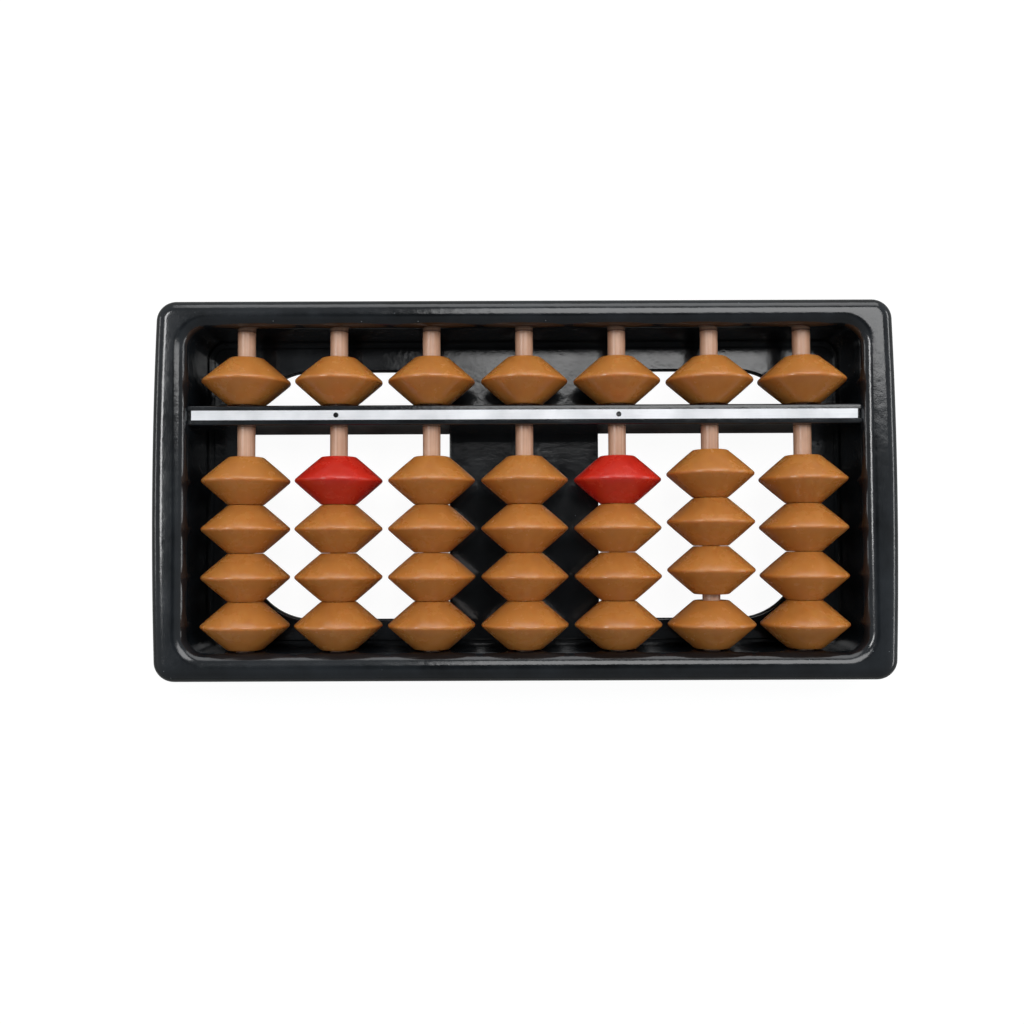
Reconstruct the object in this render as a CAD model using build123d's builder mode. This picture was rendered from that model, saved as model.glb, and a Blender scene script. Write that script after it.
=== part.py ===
from build123d import *
from math import radians, tan
import os

# A seven-column soroban (Japanese abacus) in a moulded tray, lying on its back.
# X runs across the columns, Y along the rods towards the heaven deck, and Z up out
# of the tray. The origin is under the middle of the tray, on the surface it lies on.
# All sizes are in millimetres.

os.makedirs("parts", exist_ok=True)

# Frame: one moulded ring, open at the back
frame_length = 120.5       # at the middle of the bowed ends
frame_width = 61.5
frame_height = 14.0
end_bow = 0.7              # the short ends bow outward this much
side_bar = 6.4             # width of the left and right bars at the back
end_bar = 5.08             # width of the far and near bars at the back
wall_draft = 2.5           # degrees by which the inner walls open towards the front
outer_corner = 3.2
inner_corner = 2.6
outer_rounding = 2.3       # along the front edge, outside
inner_rounding = 2.0       # along the front edge, inside
foot_chamfer = 0.4

# Back cover: a thin plate let into the back of the frame
cover_thickness = 1.2
cover_skin = 1.9           # frame wall left outside the cover
cover_clearance = 0.1
panel_step = 0.4           # the floor panel stands this much above the cover
panel_groove = 0.45        # groove between the panel and the walls
window_length = 34.7
window_width = 42.7
window_offset = -0.2       # the windows' middle, from the tray's
window_outer_corner = 11.0
window_inner_corner = 2.0
web_width = 25.6           # plate left between the two windows
gate_nub_radius = 0.5
gate_nub_height = 0.4
gate_nub_inset = 3.6       # from the window's outer edge
gate_nub_drop = 1.7        # from the beam's near side
edge_break = 0.25

# Columns
column_count = 7
column_pitch = 15.25
rod_diameter = 2.9
rod_height = 9.2           # rod axis above the surface
rod_seat_depth = 2.3       # how far each rod runs into an end bar
rod_seat_clearance = 0.02
rod_end_chamfer = 0.2
post_depth = 1.6           # along the rod, of the post under each rod end

# Reckoning beam, with its inlaid strip and unit dots
beam_offset = 12.15        # beam's middle from the tray's middle
beam_width = 3.22          # at the front
beam_draft = 2.0           # degrees by which each side widens towards the foot
beam_top = 12.2
beam_tongue = 1.5          # how far each end runs into a side bar
beam_clearance = 0.02
beam_rounding = 0.35
strip_width = 1.55
strip_depth = 0.5
strip_proud = 0.05
strip_length = 107.8
dot_radius = 0.42
dot_depth = 0.3
dot_proud = 0.04
dot_columns = [2, 5]

# Beads
bead_sharp_radius = 7.3    # to the ridge before rounding, which takes it to 7.15
bead_height = 7.84
bead_end_radius = 2.85     # flat ends
bead_bore_radius = 1.65
bead_ridge_rounding = 0.3
bead_shoulder_rounding = 0.55
bead_bore_chamfer = 0.15
bead_gap = 0.04            # between stacked beads, and at the beam
bar_gap = 0.04             # between an end bar and the bead next to it
earth_beads = 4
parted_column = 6          # here the beads above the lowest one stand raised
parted_gap = 0.95

# Worked out from the sizes above
opening_length = frame_length - 2 * side_bar
opening_width = frame_width - 2 * end_bar
floor_top = cover_thickness + panel_step
rod_radius = rod_diameter / 2
rod_length = opening_width + 2 * rod_seat_depth
beam_bottom = floor_top
beam_height = beam_top - beam_bottom
beam_length = opening_length + 2 * beam_tongue
window_centre = (web_width + window_length) / 2
beam_foot_width = beam_width + 2 * beam_height * tan(radians(beam_draft))
# A bead's flat end meets the drafted walls and beam at its lowest point
bead_foot = rod_height - bead_end_radius
wall_reach = opening_width / 2 + bead_foot * tan(radians(wall_draft))
beam_reach = beam_width / 2 + (beam_top - bead_foot) * tan(radians(beam_draft))
lowest_bead = -wall_reach + bar_gap + bead_height / 2
heaven_bead_place = beam_offset + beam_reach + bead_gap + bead_height / 2


def column_x(column):
    """Place of a column along X, counted from 1 at the left."""
    return (column - (column_count + 1) / 2) * column_pitch


def earth_y(column, bead):
    """Middle of an earth bead along its rod, counted from 1 at the near bar."""
    raised = column == parted_column and bead > 1
    return lowest_bead + (bead - 1) * (bead_height + bead_gap) + (parted_gap if raised else 0)


def write(piece, name):
    """Label a finished piece and write it as a STEP file of the same name."""
    piece.label = name
    export_step(piece, f"parts/{name}.step")


def beam_section(clearance):
    """The beam's drafted section across its length, grown by a clearance."""
    half_top = beam_width / 2 + clearance
    half_foot = beam_foot_width / 2 + clearance
    foot = beam_bottom if clearance == 0 else cover_thickness
    with BuildSketch() as section:
        with BuildLine():
            Polyline(
                (beam_offset - half_top, beam_top + clearance),
                (beam_offset + half_top, beam_top + clearance),
                (beam_offset + half_foot, foot),
                (beam_offset - half_foot, foot),
                close=True,
            )
        make_face()
    return section.sketch


# Outline of the frame: straight long sides, and short ends that bow outward
end_x = frame_length / 2 - end_bow
side_y = frame_width / 2
with BuildSketch() as frame_outline:
    with BuildLine():
        Line((-end_x, side_y), (end_x, side_y))
        ThreePointArc((end_x, side_y), (frame_length / 2, 0), (end_x, -side_y))
        Line((end_x, -side_y), (-end_x, -side_y))
        ThreePointArc((-end_x, -side_y), (-frame_length / 2, 0), (-end_x, side_y))
    make_face()
    fillet(frame_outline.vertices(), outer_corner)

# Front frame: the ring, rounded in front, with seats for the rods and the beam that
# are open to the back, so that both drop in before the cover closes them
with BuildPart() as front_frame:
    with BuildSketch():
        add(frame_outline.sketch)
    extrude(amount=frame_height)
    with BuildSketch():
        RectangleRounded(opening_length, opening_width, inner_corner)
    extrude(amount=frame_height, taper=-wall_draft, mode=Mode.SUBTRACT)
    front_face = front_frame.faces().sort_by(Axis.Z)[-1]
    fillet(front_face.outer_wire().edges(), outer_rounding)
    front_face = front_frame.faces().filter_by(Plane.XY).sort_by(Axis.Z)[-1]
    fillet(front_face.inner_wires()[0].edges(), inner_rounding)
    back_face = front_frame.faces().filter_by(Plane.XY).sort_by(Axis.Z)[0]
    chamfer(back_face.outer_wire().edges(), foot_chamfer)
    with BuildSketch():
        RectangleRounded(
            frame_length - 2 * cover_skin, frame_width - 2 * cover_skin, outer_corner - cover_skin
        )
    extrude(amount=cover_thickness, mode=Mode.SUBTRACT)
    with BuildSketch(Plane.XZ):
        with Locations(*[(column_x(c + 1), rod_height) for c in range(column_count)]):
            Circle(rod_radius + rod_seat_clearance)
            Rectangle(
                2 * (rod_radius + rod_seat_clearance), rod_height, align=(Align.CENTER, Align.MAX)
            )
    extrude(amount=rod_length / 2, both=True, mode=Mode.SUBTRACT)
    with BuildSketch(Plane.YZ):
        add(beam_section(beam_clearance))
    extrude(amount=beam_length / 2, both=True, mode=Mode.SUBTRACT)
write(front_frame.part, "front_frame")

# Back cover: plate, raised floor panel, two windows and a post under each rod end
with BuildPart() as back_cover:
    cover_inset = cover_skin + cover_clearance
    with BuildSketch():
        RectangleRounded(
            frame_length - 2 * cover_inset, frame_width - 2 * cover_inset, outer_corner - cover_inset
        )
    extrude(amount=cover_thickness)
    with BuildSketch(Plane.XY.offset(cover_thickness)):
        RectangleRounded(
            opening_length - 2 * panel_groove,
            opening_width - 2 * panel_groove,
            inner_corner - panel_groove,
        )
    extrude(amount=panel_step)
    panel_face = back_cover.faces().filter_by(Plane.XY).sort_by(Axis.Z)[-1]
    fillet(panel_face.outer_wire().edges(), edge_break)
    # One window; the other is its mirror image
    with BuildSketch():
        with Locations((window_centre, window_offset)):
            Rectangle(window_length, window_width)
        outer_points = window_centre + window_length / 2
        fillet(
            [v for v in vertices() if abs(v.X - outer_points) < 0.01], window_outer_corner
        )
        fillet(vertices().group_by(Axis.X)[0], window_inner_corner)
        mirror(about=Plane.YZ)
    extrude(amount=floor_top, mode=Mode.SUBTRACT)
    panel_face = back_cover.faces().filter_by(Plane.XY).sort_by(Axis.Z)[-1]
    fillet([e for wire in panel_face.inner_wires() for e in wire.edges()], edge_break)
    with BuildSketch(Plane.XY.offset(cover_thickness)):
        with Locations(
            *[
                (column_x(c + 1), side * (rod_length / 2 - cover_clearance - post_depth / 2))
                for c in range(column_count)
                for side in (-1, 1)
            ]
        ):
            Rectangle(rod_diameter - 2 * cover_clearance, post_depth)
    extrude(amount=rod_height - rod_radius - cover_thickness)
    with BuildSketch(Plane.XY.offset(floor_top)):
        with Locations(
            (
                window_centre + window_length / 2 + gate_nub_inset,
                beam_offset - beam_foot_width / 2 - gate_nub_drop,
            )
        ):
            Circle(gate_nub_radius)
    extrude(amount=gate_nub_height)
write(back_cover.part, "back_cover")

# Reckoning beam: full depth, with a hole for each rod and a groove for the strip
with BuildPart() as beam:
    with BuildSketch(Plane.YZ):
        add(beam_section(0))
    extrude(amount=beam_length / 2, both=True)
    front_edges = beam.faces().sort_by(Axis.Z)[-1].edges().filter_by(Axis.X)
    fillet(front_edges, beam_rounding)
    with BuildSketch(Plane.XZ.offset(-beam_offset)):
        with Locations(*[(column_x(c + 1), rod_height) for c in range(column_count)]):
            Circle(rod_radius + rod_seat_clearance)
    extrude(amount=beam_foot_width, both=True, mode=Mode.SUBTRACT)
    with BuildSketch(Plane.XY.offset(beam_top - strip_depth)):
        with Locations((0, beam_offset)):
            Rectangle(strip_length, strip_width)
    extrude(amount=strip_depth, mode=Mode.SUBTRACT)
write(beam.part, "beam")

# White strip, laid in the beam's groove, with a blind hole for each unit dot
with BuildPart() as beam_strip:
    with BuildSketch(Plane.XY.offset(beam_top - strip_depth)):
        with Locations((0, beam_offset)):
            Rectangle(strip_length, strip_width)
    extrude(amount=strip_depth + strip_proud)
    strip_top = beam_top + strip_proud
    with BuildSketch(Plane.XY.offset(strip_top - dot_depth)):
        with Locations(*[(column_x(c), beam_offset) for c in dot_columns]):
            Circle(dot_radius)
    extrude(amount=dot_depth, mode=Mode.SUBTRACT)
write(beam_strip.part, "beam_strip")

# Unit dots: two small studs with domed heads, one group
with BuildPart() as unit_dots:
    with BuildSketch(Plane.XY.offset(strip_top - dot_depth)):
        with Locations(*[(column_x(c), beam_offset) for c in dot_columns]):
            Circle(dot_radius)
    extrude(amount=dot_depth + dot_proud)
    fillet(unit_dots.faces().group_by(Axis.Z)[-1].edges(), dot_proud)
write(unit_dots.part, "unit_dots")

# Rods: one round rod to a column, trapped at both ends
for column in range(1, column_count + 1):
    with BuildPart() as rod:
        with BuildSketch(Plane.XZ.offset(-rod_length / 2)):
            with Locations((column_x(column), rod_height)):
                Circle(rod_radius)
        extrude(amount=rod_length)
        chamfer(rod.faces().filter_by(GeomType.PLANE).edges(), rod_end_chamfer)
    write(rod.part, f"rod_{column}")


def write_bead(name, x, y):
    """One bead: two blunt cones base to base, with flat ends, bored for the rod."""
    half = bead_height / 2
    with BuildPart() as bead:
        with BuildSketch(Plane.XY.offset(rod_height)):
            with BuildLine():
                Polyline(
                    (x + bead_bore_radius, y - half),
                    (x + bead_end_radius, y - half),
                    (x + bead_sharp_radius, y),
                    (x + bead_end_radius, y + half),
                    (x + bead_bore_radius, y + half),
                    close=True,
                )
            make_face()
            fillet(vertices().sort_by(Axis.X)[-1], bead_ridge_rounding)
            shoulders = [v for v in vertices() if abs(v.X - x - bead_end_radius) < 0.01]
            fillet(shoulders, bead_shoulder_rounding)
            chamfer(vertices().group_by(Axis.X)[0], bead_bore_chamfer)
        revolve(axis=Axis((x, y, rod_height), (0, 1, 0)))
    write(bead.part, name)


# Beads: one heaven bead above the beam and four earth beads below it, on every rod
for column in range(1, column_count + 1):
    write_bead(f"heaven_bead_{column}", column_x(column), heaven_bead_place)
    for bead in range(1, earth_beads + 1):
        write_bead(f"earth_bead_{column}_{bead}", column_x(column), earth_y(column, bead))

# Travels, for the record's joints
stack_top = lowest_bead + (earth_beads - 1) * (bead_height + bead_gap) + bead_height / 2
earth_travel = beam_offset - beam_reach - bead_gap - stack_top
heaven_travel = wall_reach - bar_gap - heaven_bead_place - bead_height / 2
print(f"earth travel {earth_travel:.3f} mm, heaven travel {heaven_travel:.3f} mm")
print(f"travel of the parted column {earth_travel - parted_gap:.3f} mm")
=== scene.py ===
import math
import random

import bmesh
import bpy
from mathutils import Matrix, Vector


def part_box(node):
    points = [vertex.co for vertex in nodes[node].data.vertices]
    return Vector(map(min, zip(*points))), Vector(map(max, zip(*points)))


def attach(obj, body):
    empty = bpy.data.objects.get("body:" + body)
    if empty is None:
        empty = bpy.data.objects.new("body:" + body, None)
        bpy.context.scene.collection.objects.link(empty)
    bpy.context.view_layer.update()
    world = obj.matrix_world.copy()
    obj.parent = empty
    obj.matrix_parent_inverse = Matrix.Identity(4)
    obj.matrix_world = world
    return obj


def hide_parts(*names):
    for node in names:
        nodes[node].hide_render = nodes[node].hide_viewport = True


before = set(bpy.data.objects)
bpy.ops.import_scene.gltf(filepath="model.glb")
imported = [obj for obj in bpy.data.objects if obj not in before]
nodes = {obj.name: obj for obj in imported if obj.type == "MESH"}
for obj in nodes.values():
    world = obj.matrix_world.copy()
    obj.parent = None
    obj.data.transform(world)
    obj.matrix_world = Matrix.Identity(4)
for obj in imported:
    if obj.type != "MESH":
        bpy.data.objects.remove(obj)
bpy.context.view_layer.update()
mm = 0.001
crispDegrees = 28               # edges sharper than this stay crisp
print("frame loaded:", len(nodes), "nodes")


def linear(hexColour):
    # sRGB hex to the linear colour that the shaders want
    channels = []
    for i in (1, 3, 5):
        c = int(hexColour[i:i + 2], 16) / 255
        channels.append(c / 12.92 if c <= 0.04045 else ((c + 0.055) / 1.055) ** 2.4)
    return (*channels, 1.0)


def per(sizeInMm):
    # texture scale for a feature of that size, since one unit is a metre
    return 1000 / sizeInMm


def addNode(tree, kind, values=None, links=None, stops=None, **settings):
    # one shader node with its settings, socket values, incoming links and ramp stops
    node = tree.nodes.new(kind)
    for name, value in settings.items():
        setattr(node, name, value)
    for socket, value in (values or {}).items():
        node.inputs[socket].default_value = value
    for socket, source in (links or {}).items():
        tree.links.new(source, node.inputs[socket])
    if stops:
        ramp = node.color_ramp
        ramp.elements[0].position, ramp.elements[0].color = stops[0]
        ramp.elements[1].position, ramp.elements[1].color = stops[-1]
        for place, colour in stops[1:-1]:
            ramp.elements.new(place).color = colour
    return node


def newMaterial(name):
    material = bpy.data.materials.new(name)
    material.use_nodes = True
    tree = material.node_tree
    tree.nodes.clear()
    return material, tree


def grey(value):
    return (value, value, value, 1.0)


def finishMaterial(tree, shader):
    addNode(tree, "ShaderNodeOutputMaterial", links={"Surface": shader.outputs["BSDF"]})


blackTray = {
    "deep": "#0B0D0F",          # in the bulk
    "sheen": "#1C2024",         # where handling has greyed it
    "dust": "#5A5E60",
    "ior": 1.53,                # ABS
    "peelMm": 0.28,             # orange peel from the polished mould
    "peelDepthMm": 0.009,
    "rippleMm": 1.1,            # shallow ripples between the peel and the sink
    "rippleDepthMm": 0.02,
    "sinkMm": 5.5,              # slow sink and flow waves
    "sinkDepthMm": 0.03,
    "specular": 0.5,
    "roughnessLow": 0.09,
    "roughnessHigh": 0.2,
    "handledMm": 9.0,           # patches that hands have dulled
    "grainMm": 0.16,            # fine uneven gloss
    "grainDulling": 0.10,
    "dustMm": 1.3,              # from speck to speck
    "dustSize": 0.075,          # share of that distance
    "dustRarity": 0.78,
}


def glossyBlackAbs(name, spec):
    # Moulded ABS, black in the bulk: a clear plastic gloss over almost no colour of its own.
    # The fine orange peel breaks each highlight into beads of light, and the slow sink
    # waves make the lines of light wander.
    material, tree = newMaterial(name)
    where = addNode(tree, "ShaderNodeTexCoord").outputs["Object"]
    peel = addNode(tree, "ShaderNodeTexNoise", {"Scale": per(spec["peelMm"]), "Detail": 3.0},
                   {"Vector": where})
    sink = addNode(tree, "ShaderNodeTexNoise", {"Scale": per(spec["sinkMm"]), "Detail": 2.0},
                   {"Vector": where})
    handled = addNode(tree, "ShaderNodeTexNoise",
                      {"Scale": per(spec["handledMm"]), "Detail": 5.0, "Roughness": 0.65},
                      {"Vector": where})
    grain = addNode(tree, "ShaderNodeTexNoise", {"Scale": per(spec["grainMm"]), "Detail": 1.0},
                    {"Vector": where})
    specks = addNode(tree, "ShaderNodeTexVoronoi", {"Scale": per(spec["dustMm"])},
                     {"Vector": where})
    speckSize = addNode(tree, "ShaderNodeMath", {1: spec["dustSize"]},
                        {0: specks.outputs["Distance"]}, operation="LESS_THAN")
    speckFew = addNode(tree, "ShaderNodeMath", {1: spec["dustRarity"]},
                       {0: specks.outputs["Color"]}, operation="GREATER_THAN")
    speck = addNode(tree, "ShaderNodeMath", {},
                    {0: speckSize.outputs[0], 1: speckFew.outputs[0]}, operation="MULTIPLY")
    tone = addNode(tree, "ShaderNodeValToRGB", {}, {"Fac": handled.outputs["Fac"]},
                   stops=[(0.36, linear(spec["deep"])), (0.72, linear(spec["sheen"]))])
    dusty = addNode(tree, "ShaderNodeMix", {"B": linear(spec["dust"])},
                    {"Factor": speck.outputs[0], "A": tone.outputs["Color"]}, data_type="RGBA")
    rough = addNode(tree, "ShaderNodeMapRange",
                    {"From Min": 0.3, "From Max": 0.7, "To Min": spec["roughnessLow"],
                     "To Max": spec["roughnessHigh"]}, {"Value": handled.outputs["Fac"]})
    roughGrain = addNode(tree, "ShaderNodeMath",
                         {1: spec["grainDulling"], 2: -spec["grainDulling"] / 2},
                         {0: grain.outputs["Fac"]}, operation="MULTIPLY_ADD")
    roughness = addNode(tree, "ShaderNodeMath", {},
                        {0: rough.outputs[0], 1: roughGrain.outputs[0]}, operation="ADD")
    slow = addNode(tree, "ShaderNodeBump",
                   {"Strength": 1.0, "Distance": spec["sinkDepthMm"] * mm},
                   {"Height": sink.outputs["Fac"]})
    ripple = addNode(tree, "ShaderNodeTexNoise", {"Scale": per(spec["rippleMm"]), "Detail": 1.0},
                     {"Vector": where})
    middle = addNode(tree, "ShaderNodeBump",
                     {"Strength": 1.0, "Distance": spec["rippleDepthMm"] * mm},
                     {"Height": ripple.outputs["Fac"], "Normal": slow.outputs["Normal"]})
    fine = addNode(tree, "ShaderNodeBump",
                   {"Strength": 1.0, "Distance": spec["peelDepthMm"] * mm},
                   {"Height": peel.outputs["Fac"], "Normal": middle.outputs["Normal"]})
    shader = addNode(tree, "ShaderNodeBsdfPrincipled",
                     {"IOR": spec["ior"], "Specular IOR Level": spec["specular"]},
                     {"Base Color": dusty.outputs["Result"], "Roughness": roughness.outputs[0],
                      "Normal": fine.outputs["Normal"]})
    finishMaterial(tree, shader)
    return material


beadShape = {
    "boreRadius": 1.65,
    "endRadius": 2.85,
    "sharpRadius": 7.34,
    "ridgeRounding": 0.42,
    "shoulderRounding": 0.55,
    "boreEdge": 0.15,
    "flankCrown": 0.03,         # the flanks swell this much between ridge and shoulder
    "turns": 112,               # facets round the bead
    "arcSteps": 5,
    "seed": 41,
}

caramelBead = {
    "light": "#BC7C3C",
    "middle": "#B57637",
    "dark": "#AC6E32",
    "speck": "#C99B6B",
    "ior": 1.53,
    "depthShare": 0.75,         # light soaks in and evens out the two flanks
    "depthMm": 1.6,
    "flowMm": 3.2,              # pigment swirls from the gate
    "streakCount": 46,          # flow lines round the bead, from bore to ridge
    "streakLengthMm": 9.0,
    "streakShare": 0.15,        # how far the flow lines show against the swirls
    "flowDepthMm": 0.003,
    "toneSpread": 0.10,         # from the darkest bead to the lightest
    "specksMm": 1.7,
    "speckSize": 0.04,          # share of that distance
    "speckRarity": 0.8,
    "luckSpread": 37.0,         # sets the patterns of two beads far apart
    "satinMm": 0.22,            # mould texture on the flanks
    "satinDepthMm": 0.0016,
    "roughnessLow": 0.20,
    "roughnessHigh": 0.32,
}

redBead = dict(caramelBead, light="#C92F1F", middle="#C3291A", dark="#BA2416",
               speck="#D9705E")


def satinBeadAbs(name, spec):
    # Moulded ABS coloured in the bulk, from a lightly blasted mould: a soft satin flank and
    # a brighter line on the ridge, with pigment flow lines running from bore to ridge.
    material, tree = newMaterial(name)
    where = addNode(tree, "ShaderNodeTexCoord").outputs["Object"]
    luck = addNode(tree, "ShaderNodeObjectInfo").outputs["Random"]
    offset = addNode(tree, "ShaderNodeMath", {1: spec["luckSpread"]}, {0: luck},
                     operation="MULTIPLY").outputs[0]
    flow = addNode(tree, "ShaderNodeTexNoise",
                   {"Scale": per(spec["flowMm"]), "Detail": 4.0, "Roughness": 0.6},
                   {"Vector": where, "W": offset}, noise_dimensions="4D")
    parts = addNode(tree, "ShaderNodeSeparateXYZ", {}, {"Vector": where}).outputs
    angle = addNode(tree, "ShaderNodeMath", {}, {0: parts["X"], 1: parts["Z"]},
                    operation="ARCTAN2")
    around = addNode(tree, "ShaderNodeMath", {1: spec["streakCount"] / (2 * math.pi)},
                     {0: angle.outputs[0]}, operation="MULTIPLY")
    along = addNode(tree, "ShaderNodeMath", {1: per(spec["streakLengthMm"])}, {0: parts["Y"]},
                    operation="MULTIPLY")
    streakPlace = addNode(tree, "ShaderNodeCombineXYZ", {},
                          {"X": around.outputs[0], "Y": along.outputs[0], "Z": offset})
    streaks = addNode(tree, "ShaderNodeTexNoise", {"Scale": 1.0, "Detail": 2.0},
                      {"Vector": streakPlace.outputs[0]})
    mixed = addNode(tree, "ShaderNodeMix", {"Factor": spec["streakShare"]},
                    {"A": flow.outputs["Fac"], "B": streaks.outputs["Fac"]})
    shade = addNode(tree, "ShaderNodeMath",
                    {1: spec["toneSpread"], 2: -spec["toneSpread"] / 2}, {0: luck},
                    operation="MULTIPLY_ADD")
    toned = addNode(tree, "ShaderNodeMath", {},
                    {0: mixed.outputs["Result"], 1: shade.outputs[0]}, operation="ADD")
    colour = addNode(tree, "ShaderNodeValToRGB", {}, {"Fac": toned.outputs[0]},
                     stops=[(0.30, linear(spec["dark"])), (0.50, linear(spec["middle"])),
                            (0.72, linear(spec["light"]))])
    cells = addNode(tree, "ShaderNodeTexVoronoi", {"Scale": per(spec["specksMm"])},
                    {"Vector": where, "W": offset}, voronoi_dimensions="4D")
    small = addNode(tree, "ShaderNodeMath", {1: spec["speckSize"]}, {0: cells.outputs["Distance"]},
                    operation="LESS_THAN")
    few = addNode(tree, "ShaderNodeMath", {1: spec["speckRarity"]}, {0: cells.outputs["Color"]},
                  operation="GREATER_THAN")
    speck = addNode(tree, "ShaderNodeMath", {}, {0: small.outputs[0], 1: few.outputs[0]},
                    operation="MULTIPLY")
    specked = addNode(tree, "ShaderNodeMix", {"B": linear(spec["speck"])},
                      {"Factor": speck.outputs[0], "A": colour.outputs["Color"]},
                      data_type="RGBA")
    satin = addNode(tree, "ShaderNodeTexNoise", {"Scale": per(spec["satinMm"]), "Detail": 2.0},
                    {"Vector": where})
    roughness = addNode(tree, "ShaderNodeMapRange",
                        {"From Min": 0.3, "From Max": 0.7, "To Min": spec["roughnessLow"],
                         "To Max": spec["roughnessHigh"]}, {"Value": flow.outputs["Fac"]})
    flowBump = addNode(tree, "ShaderNodeBump",
                       {"Strength": 1.0, "Distance": spec["flowDepthMm"] * mm},
                       {"Height": mixed.outputs["Result"]})
    bump = addNode(tree, "ShaderNodeBump",
                   {"Strength": 1.0, "Distance": spec["satinDepthMm"] * mm},
                   {"Height": satin.outputs["Fac"], "Normal": flowBump.outputs["Normal"]})
    shader = addNode(tree, "ShaderNodeBsdfPrincipled",
                     {"IOR": spec["ior"], "Subsurface Weight": spec["depthShare"],
                      "Subsurface Radius": (1.0, 0.65, 0.4),
                      "Subsurface Scale": spec["depthMm"] * mm},
                     {"Base Color": specked.outputs["Result"],
                      "Roughness": roughness.outputs[0], "Normal": bump.outputs["Normal"]})
    finishMaterial(tree, shader)
    return material


def roundedCorners(corners, radii, steps):
    # the outline through those corners, each rounded by an arc of its radius
    outline = []
    last = len(corners)
    for i, (corner, radius) in enumerate(zip(corners, radii)):
        here = Vector(corner)
        back = (Vector(corners[i - 1]) - here).normalized()
        on = (Vector(corners[(i + 1) % last]) - here).normalized()
        if radius == 0:
            outline.append(here)
            continue
        half = back.angle(on) / 2
        reach = radius / math.tan(half)
        middle = here + (back + on).normalized() * (radius / math.sin(half))
        start = here + back * reach - middle
        turn = math.pi - 2 * half
        side = math.copysign(1, back.x * on.y - back.y * on.x)
        for k in range(steps + 1):
            a = -side * turn * k / steps
            outline.append(middle + Matrix.Rotation(a, 2) @ start)
    return outline


def beadMesh(name, half, spec):
    # a bicone turned about Y, as one closed skin with its bore
    profile = roundedCorners(
        [(spec["boreRadius"], -half), (spec["endRadius"], -half), (spec["sharpRadius"], 0),
         (spec["endRadius"], half), (spec["boreRadius"], half)],
        [spec["boreEdge"], spec["shoulderRounding"], spec["ridgeRounding"],
         spec["shoulderRounding"], spec["boreEdge"]],
        spec["arcSteps"])
    full = []
    for i, point in enumerate(profile):
        full.append(point)
        after = profile[(i + 1) % len(profile)]
        if (after - point).length > 2.0 and point.x + after.x > 2 * spec["endRadius"]:
            outward = Vector((1, math.copysign(1, point.y + after.y))).normalized()
            for share in (0.25, 0.5, 0.75):
                swell = spec["flankCrown"] * math.sin(math.pi * share)
                full.append(point.lerp(after, share) + outward * swell)
    mesh = bpy.data.meshes.new(name)
    skin = bmesh.new()
    rings = []
    for k in range(spec["turns"]):
        a = 2 * math.pi * k / spec["turns"]
        rings.append([skin.verts.new((p.x * math.cos(a) * mm, p.y * mm, p.x * math.sin(a) * mm))
                      for p in full])
    for k, ring in enumerate(rings):
        after = rings[(k + 1) % len(rings)]
        for i in range(len(full)):
            j = (i + 1) % len(full)
            skin.faces.new((ring[i], ring[j], after[j], after[i]))
    bmesh.ops.recalc_face_normals(skin, faces=skin.faces)
    for face in skin.faces:
        face.smooth = True
    skin.to_mesh(mesh)
    skin.free()
    return mesh


redBeads = ("earth_bead_2_4", "earth_bead_5_4")


def makeBeads(caramel, red, spec):
    # every bead is its own piece, turned a little on its rod as loose beads are
    chance = random.Random(spec["seed"])
    names = sorted(n for n in nodes if "_bead_" in n)
    low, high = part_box(names[0])
    master = beadMesh("bicone_bead", (high.y - low.y) / 2 / mm, spec)
    for name in names:
        low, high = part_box(name)
        mesh = master.copy()
        mesh.transform(Matrix.Rotation(chance.uniform(0, 2 * math.pi), 4, "Y"))
        mesh.materials.append(red if name in redBeads else caramel)
        bead = bpy.data.objects.new("turned_" + name, mesh)
        bpy.context.scene.collection.objects.link(bead)
        bead.location = (low + high) / 2
        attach(bead, name)
        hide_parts(name)
    print("beads:", len(names))


rodFinish = {
    "light": "#D2A88C",
    "dark": "#B4876C",
    "grainMm": 0.16,            # die lines across the rod
    "grainLengthMm": 14.0,
    "depthMm": 0.004,
    "cloudMm": 4.0,             # paler and darker lengths of the rod
    "glowMm": 0.6,              # how deep light soaks in
    "roughnessLow": 0.26,
    "roughnessHigh": 0.42,
    "ior": 1.49,
}


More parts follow.
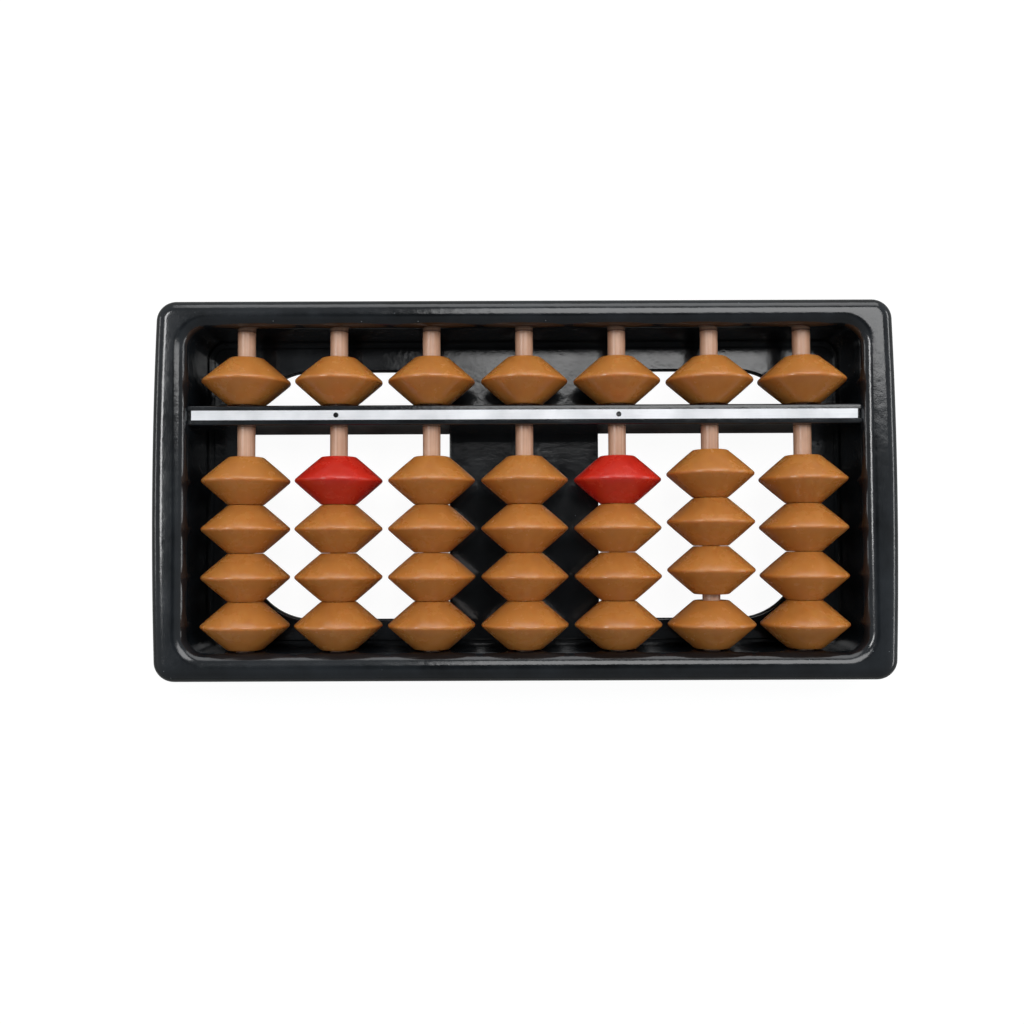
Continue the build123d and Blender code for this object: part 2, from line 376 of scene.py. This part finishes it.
def drawnRodPlastic(name, spec):
    # Rod drawn through a die: long fine lines along it, and a soft streak of light.
    material, tree = newMaterial(name)
    where = addNode(tree, "ShaderNodeTexCoord").outputs["Object"]
    stretch = addNode(tree, "ShaderNodeMapping",
                      {"Scale": (per(spec["grainMm"]), per(spec["grainLengthMm"]),
                                 per(spec["grainMm"]))}, {"Vector": where})
    lines = addNode(tree, "ShaderNodeTexNoise", {"Scale": 1.0, "Detail": 3.0},
                    {"Vector": stretch.outputs[0]})
    cloud = addNode(tree, "ShaderNodeTexNoise", {"Scale": per(spec["cloudMm"]), "Detail": 3.0},
                    {"Vector": where})
    both = addNode(tree, "ShaderNodeMix", {"Factor": 0.45},
                   {"A": lines.outputs["Fac"], "B": cloud.outputs["Fac"]})
    colour = addNode(tree, "ShaderNodeValToRGB", {}, {"Fac": both.outputs["Result"]},
                     stops=[(0.32, linear(spec["dark"])), (0.66, linear(spec["light"]))])
    roughness = addNode(tree, "ShaderNodeMapRange",
                        {"To Min": spec["roughnessLow"], "To Max": spec["roughnessHigh"]},
                        {"Value": lines.outputs["Fac"]})
    bump = addNode(tree, "ShaderNodeBump", {"Strength": 1.0, "Distance": spec["depthMm"] * mm},
                   {"Height": lines.outputs["Fac"]})
    shader = addNode(tree, "ShaderNodeBsdfPrincipled",
                     {"IOR": spec["ior"], "Subsurface Weight": 0.08,
                      "Subsurface Radius": (1.0, 0.6, 0.45),
                      "Subsurface Scale": spec["glowMm"] * mm},
                     {"Base Color": colour.outputs["Color"], "Roughness": roughness.outputs[0],
                      "Normal": bump.outputs["Normal"]})
    finishMaterial(tree, shader)
    return material


stripFinish = {
    "clean": "#F1F3F6",
    "worn": "#D9DCDF",
    "soil": "#A9A8A6",
    "scratchMm": 0.09,
    "scratchLengthMm": 7.0,
    "scratchDepthMm": 0.004,
    "cloudMm": 6.0,
    "roughnessLow": 0.2,
    "roughnessHigh": 0.38,
    "ior": 1.54,
}


def whitePvcStrip(name, spec):
    # Rigid PVC strip slit from sheet: bright and smooth, with fine scuffs along its length.
    material, tree = newMaterial(name)
    where = addNode(tree, "ShaderNodeTexCoord").outputs["Object"]
    stretch = addNode(tree, "ShaderNodeMapping",
                      {"Scale": (per(spec["scratchLengthMm"]), per(spec["scratchMm"]),
                                 per(spec["scratchMm"]))}, {"Vector": where})
    scuffs = addNode(tree, "ShaderNodeTexNoise", {"Scale": 1.0, "Detail": 4.0},
                     {"Vector": stretch.outputs[0]})
    cloud = addNode(tree, "ShaderNodeTexNoise", {"Scale": per(spec["cloudMm"]), "Detail": 4.0},
                    {"Vector": where})
    tone = addNode(tree, "ShaderNodeValToRGB", {}, {"Fac": cloud.outputs["Fac"]},
                   stops=[(0.35, linear(spec["worn"])), (0.6, linear(spec["clean"]))])
    mark = addNode(tree, "ShaderNodeMapRange",
                   {"From Min": 0.62, "From Max": 0.8, "To Max": 0.5},
                   {"Value": scuffs.outputs["Fac"]})
    colour = addNode(tree, "ShaderNodeMix", {"B": linear(spec["soil"])},
                     {"Factor": mark.outputs[0], "A": tone.outputs["Color"]},
                     data_type="RGBA")
    roughness = addNode(tree, "ShaderNodeMapRange",
                        {"To Min": spec["roughnessLow"], "To Max": spec["roughnessHigh"]},
                        {"Value": scuffs.outputs["Fac"]})
    bump = addNode(tree, "ShaderNodeBump",
                   {"Strength": 1.0, "Distance": spec["scratchDepthMm"] * mm},
                   {"Height": scuffs.outputs["Fac"]})
    shader = addNode(tree, "ShaderNodeBsdfPrincipled", {"IOR": spec["ior"]},
                     {"Base Color": colour.outputs["Result"], "Roughness": roughness.outputs[0],
                      "Normal": bump.outputs["Normal"]})
    finishMaterial(tree, shader)
    return material


frameShape = {
    "halfLength": 59.55,        # at the corners; the ends bow out from there
    "endBow": 0.6,
    "halfWidth": 30.75,
    "height": 14.0,
    "cornerRadius": 3.2,
    "openingHalfLength": 53.85,
    "openingHalfWidth": 25.67,
    "openingRadius": 2.6,
    "draft": 0.0437,            # the inner walls open by this for each millimetre of height
    "outerRounding": 2.3,
    "innerRounding": 2.0,
    "footEdge": 0.4,
    "coverDepth": 1.2,
    "coverSkin": 1.9,
    "arcSteps": 16,
    "cornerSteps": 14,
    "longSteps": 36,
    "shortSteps": 20,
}


def ringOutline(halfX, halfY, radius, bow, spec):
    # a rounded rectangle, anticlockwise, whose short sides bow outward
    points = []
    for turn, (sideX, sideY) in enumerate(((1, 1), (-1, 1), (-1, -1), (1, -1))):
        for k in range(spec["cornerSteps"] + 1):
            a = math.pi / 2 * (turn + k / spec["cornerSteps"])
            points.append((sideX * (halfX - radius) + radius * math.cos(a),
                           sideY * (halfY - radius) + radius * math.sin(a)))
        steps = spec["shortSteps"] if turn % 2 else spec["longSteps"]
        begin = points[-1]
        end = ((-begin[0], begin[1]), (begin[0], -begin[1]))[turn % 2]
        for k in range(1, steps):
            share = k / steps
            points.append((begin[0] + (end[0] - begin[0]) * share,
                           begin[1] + (end[1] - begin[1]) * share))
    return [(x + math.copysign(bow * (1 - (y / halfY) ** 2), x), y) for x, y in points]


def sweepRings(name, rings, material):
    # closed skin through rings of equal count, the last joined to the first
    skin = bmesh.new()
    loops = [[skin.verts.new((x * mm, y * mm, z * mm)) for x, y in ring] for ring, z in rings]
    for i, loop in enumerate(loops):
        after = loops[(i + 1) % len(loops)]
        for k in range(len(loop)):
            j = (k + 1) % len(loop)
            skin.faces.new((loop[k], loop[j], after[j], after[k]))
    return finishSkin(name, skin, material)


def finishSkin(name, skin, material):
    # smooth over the roundings, crisp over real edges
    bmesh.ops.recalc_face_normals(skin, faces=skin.faces)
    for face in skin.faces:
        face.smooth = True
    for edge in skin.edges:
        edge.smooth = edge.calc_face_angle(0) < math.radians(crispDegrees)
    mesh = bpy.data.meshes.new(name)
    skin.to_mesh(mesh)
    skin.free()
    mesh.materials.append(material)
    piece = bpy.data.objects.new(name, mesh)
    bpy.context.scene.collection.objects.link(piece)
    return piece


def makeFrame(material, spec):
    # the front frame as one ring, with its roundings finely stepped
    def outer(inset, z):
        return ringOutline(spec["halfLength"] - inset, spec["halfWidth"] - inset,
                           spec["cornerRadius"] - inset, spec["endBow"], spec), z

    def inner(outset, z):
        grow = outset + spec["draft"] * z
        return ringOutline(spec["openingHalfLength"] + grow, spec["openingHalfWidth"] + grow,
                           spec["openingRadius"] + grow, 0, spec), z

    big, small = spec["outerRounding"], spec["innerRounding"]
    top = spec["height"]
    rings = [outer(spec["footEdge"], 0), outer(0, spec["footEdge"]), outer(0, top / 2)]
    for k in range(spec["arcSteps"] + 1):
        a = math.pi / 2 * k / spec["arcSteps"]
        rings.append(outer(big * (1 - math.cos(a)), top - big + big * math.sin(a)))
    for k in range(spec["arcSteps"], -1, -1):
        a = math.pi / 2 * k / spec["arcSteps"]
        rings.append(inner(small * (1 - math.cos(a)), top - small + small * math.sin(a)))
    rings += [inner(0, top / 2), inner(0, spec["coverDepth"]),
              outer(spec["coverSkin"], spec["coverDepth"]), outer(spec["coverSkin"], 0)]
    piece = sweepRings("moulded_front_frame", rings, material)
    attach(piece, "tray")
    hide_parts("front_frame")
    print("front frame:", len(piece.data.vertices), "points")


beamShape = {
    "place": 12.15,
    "width": 3.22,              # at the front
    "footWidth": 3.96,
    "foot": 1.6,
    "top": 12.2,
    "halfLength": 55.35,
    "rounding": 0.35,
    "grooveWidth": 1.55,
    "grooveDepth": 0.5,
    "arcSteps": 8,
    "lengths": 60,
}


def makeBeam(material, spec):
    # the reckoning beam: a bar with rounded front edges and a groove for the strip
    half, top, r = spec["width"] / 2, spec["top"], spec["rounding"]
    side = [(spec["footWidth"] / 2, spec["foot"])]
    for k in range(spec["arcSteps"] + 1):
        a = math.pi / 2 * k / spec["arcSteps"]
        side.append((half - r + r * math.cos(a), top - r + r * math.sin(a)))
    side += [(spec["grooveWidth"] / 2, top), (spec["grooveWidth"] / 2, top - spec["grooveDepth"])]
    outline = side + [(-y, z) for y, z in reversed(side)]
    skin = bmesh.new()
    loops = []
    for k in range(spec["lengths"] + 1):
        x = spec["halfLength"] * (2 * k / spec["lengths"] - 1)
        loops.append([skin.verts.new((x * mm, (spec["place"] + y) * mm, z * mm))
                      for y, z in outline])
    for near, far in zip(loops, loops[1:]):
        for k in range(len(outline)):
            j = (k + 1) % len(outline)
            skin.faces.new((near[k], near[j], far[j], far[k]))
    for loop in (loops[0], loops[-1]):
        skin.faces.new(loop)
    piece = finishSkin("moulded_beam", skin, material)
    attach(piece, "tray")
    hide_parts("beam")
    print("reckoning beam:", len(piece.data.vertices), "points")


def dress(material, *names):
    # the finish of CAD nodes that keep their own shape
    for name in names:
        slots = nodes[name].data.materials
        for i in range(len(slots)):
            slots[i] = material


trayAbs = glossyBlackAbs("moulded_black_abs", blackTray)
dotAbs = glossyBlackAbs("moulded_dot_abs", dict(blackTray, deep="#08090A", sheen="#16181A"))
caramelAbs = satinBeadAbs("moulded_caramel_abs", caramelBead)
redAbs = satinBeadAbs("moulded_red_abs", redBead)
rodPlastic = drawnRodPlastic("drawn_rod_plastic", rodFinish)
stripPvc = whitePvcStrip("white_pvc_strip", stripFinish)
dress(trayAbs, "back_cover")
dress(stripPvc, "beam_strip")
dress(dotAbs, "unit_dots")
dress(rodPlastic, *[n for n in nodes if n.startswith("rod_")])
print("finishes on the cover, strip, dots and rods")
makeFrame(trayAbs, frameShape)
makeBeam(trayAbs, beamShape)
makeBeads(caramelAbs, redAbs, beadShape)


floorSpec = {"colour": "#8C8C8A", "seenColour": "#5C5C5B", "size": 3.0, "glow": 0.95}


def makeFloor(spec):
    # A plain white sheet. It shows as clean white, while what it throws back on the
    # tray is the soft grey of a sheet that only the studio lights reach.
    mesh = bpy.data.meshes.new("floor")
    half = spec["size"] / 2
    mesh.from_pydata([(-half, -half, 0), (half, -half, 0), (half, half, 0), (-half, half, 0)],
                     [], [(0, 1, 2, 3)])
    floor = bpy.data.objects.new("floor", mesh)
    bpy.context.scene.collection.objects.link(floor)
    floor.location.z = -0.02 * mm
    material, tree = newMaterial("matt_white_sheet")
    felt = addNode(tree, "ShaderNodeBsdfPrincipled",
                   {"Base Color": linear(spec["colour"]), "Roughness": 0.9,
                    "Specular IOR Level": 0.1})
    seen = addNode(tree, "ShaderNodeBsdfPrincipled",
                   {"Base Color": linear(spec["seenColour"]), "Roughness": 0.9,
                    "Specular IOR Level": 0.1, "Emission Color": grey(1.0),
                    "Emission Strength": spec["glow"]})
    ray = addNode(tree, "ShaderNodeLightPath")
    both = addNode(tree, "ShaderNodeMixShader", {},
                   {0: ray.outputs["Is Camera Ray"], 1: felt.outputs[0], 2: seen.outputs[0]})
    addNode(tree, "ShaderNodeOutputMaterial", {}, {"Surface": both.outputs[0]})
    mesh.materials.append(material)


studio = {
    # name: place in metres, point it faces, (width, depth), brightness of its face
    "ceiling_panel": ((0.15, 0.277, 0.50), (0.15, 0.277, 0.0), (0.40, 0.37), 4.7),
    "left_panel": ((-0.36, 0.14, 0.50), (-0.36, 0.14, 0.0), (0.16, 0.32), 3.5),
    "left_glint": ((-0.35, 0.14, 0.49), (-0.35, 0.14, 0.0), (0.12, 0.32), 9.0),
    "far_window": ((0.10, 0.90, 0.28), (0.0, 0.0, 0.0), (1.00, 0.50), 2.0),
    "right_window": ((0.90, 0.05, 0.21), (0.0, 0.0, 0.0), (0.90, 0.12), 5.0),
    "left_window": ((-0.90, 0.15, 0.12), (0.0, 0.0, 0.0), (0.40, 0.12), 3.0),
}

# the room, from the horizon to straight up: pale walls and a dim ceiling
roomStops = [(0.0, (0.42, 0.44, 0.46, 1)), (0.5, (0.42, 0.44, 0.46, 1)),
             (0.87, (0.34, 0.36, 0.38, 1)), (0.94, (0.28, 0.30, 0.32, 1)),
             (0.985, (0.08, 0.085, 0.09, 1)), (1.0, (0.04, 0.042, 0.045, 1))]


def makeLights(spec):
    for name, (place, target, size, brightness) in spec.items():
        data = bpy.data.lights.new(name, "AREA")
        data.shape = "RECTANGLE"
        data.size, data.size_y = size
        data.energy = brightness * math.pi * size[0] * size[1]
        lamp = bpy.data.objects.new(name, data)
        bpy.context.scene.collection.objects.link(lamp)
        lamp.location = place
        lamp.rotation_euler = (Vector(target) - Vector(place)).to_track_quat("-Z", "Y").to_euler()
        lamp.visible_camera = False
        lamp.visible_diffuse = not name.endswith("glint")   # a glint only shows in the gloss
    world = bpy.data.worlds.new("room")
    world.use_nodes = True
    tree = world.node_tree
    direction = addNode(tree, "ShaderNodeTexCoord").outputs["Generated"]
    height = addNode(tree, "ShaderNodeSeparateXYZ", {}, {"Vector": direction}).outputs["Z"]
    walls = addNode(tree, "ShaderNodeValToRGB", {}, {"Fac": height}, stops=roomStops)
    # the walls on the near side are darker
    depth = addNode(tree, "ShaderNodeSeparateXYZ", {}, {"Vector": direction}).outputs["Y"]
    nearSide = addNode(tree, "ShaderNodeMapRange",
                       {"From Min": -0.8, "From Max": -0.1, "To Min": 0.6, "To Max": 1.0},
                       {"Value": depth})
    background = tree.nodes["Background"]
    tree.links.new(walls.outputs["Color"], background.inputs["Color"])
    tree.links.new(nearSide.outputs[0], background.inputs["Strength"])
    bpy.context.scene.world = world


cameraSpec = {
    "place": (-0.0021, -0.0094, 0.173),
    "focalMm": 35.1,
    "sensorMm": 36.0,
    "clipMetres": (0.01, 10.0),
    "tiltDegrees": 2.05,        # from straight down, towards the far bar
    "rollDegrees": -0.21,
}


def makeCamera(spec):
    data = bpy.data.cameras.new("camera")
    data.sensor_width = spec["sensorMm"]
    data.lens = spec["focalMm"]
    data.clip_start, data.clip_end = spec["clipMetres"]
    camera = bpy.data.objects.new("camera", data)
    bpy.context.scene.collection.objects.link(camera)
    camera.location = spec["place"]
    camera.rotation_euler = (math.radians(spec["tiltDegrees"]), 0,
                             math.radians(spec["rollDegrees"]))
    bpy.context.scene.camera = camera


makeFloor(floorSpec)
makeLights(studio)
makeCamera(cameraSpec)
bpy.context.scene.view_settings.view_transform = "Standard"
print("floor, light and camera set")
